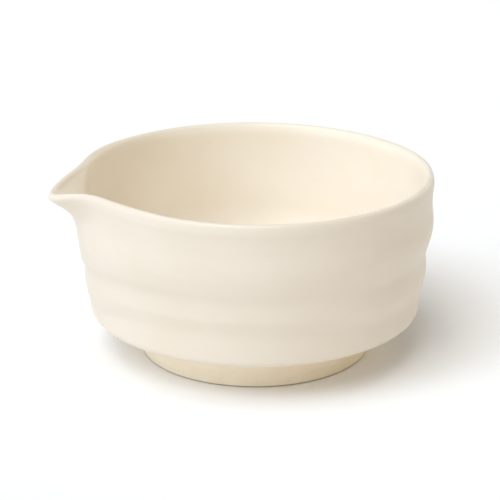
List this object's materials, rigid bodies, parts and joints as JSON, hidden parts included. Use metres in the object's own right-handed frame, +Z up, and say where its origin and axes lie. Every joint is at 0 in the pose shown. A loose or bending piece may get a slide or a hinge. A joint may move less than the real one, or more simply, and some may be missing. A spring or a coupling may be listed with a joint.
{
  "type": "spouted mixing bowl",
  "caption": "Round stoneware mixing bowl with soft throwing rings, a pulled pouring spout in the rim, a cream glaze inside and out, and a low bare foot ring.",
  "frame": {"origin": "on the table, under the middle of the bowl's whole length with its spout", "axes": "-X points the way the spout pours, +Y across the bowl, +Z up; the XZ plane is the plane of symmetry"},
  "size_m": [0.1663, 0.1526, 0.0806],
  "materials": {
    "clay_body": "fired buff stoneware, bare under the foot",
    "glaze_coat": "satin cream glaze with faint throwing lines",
    "foot_ring": "bare fired stoneware, fine matt grain"
  },
  "bodies": {
    "root": {"clay_body": "clay_body", "glaze_coat": "glaze_coat", "foot_ring": "foot_ring"}
  },
  "joints": []
}
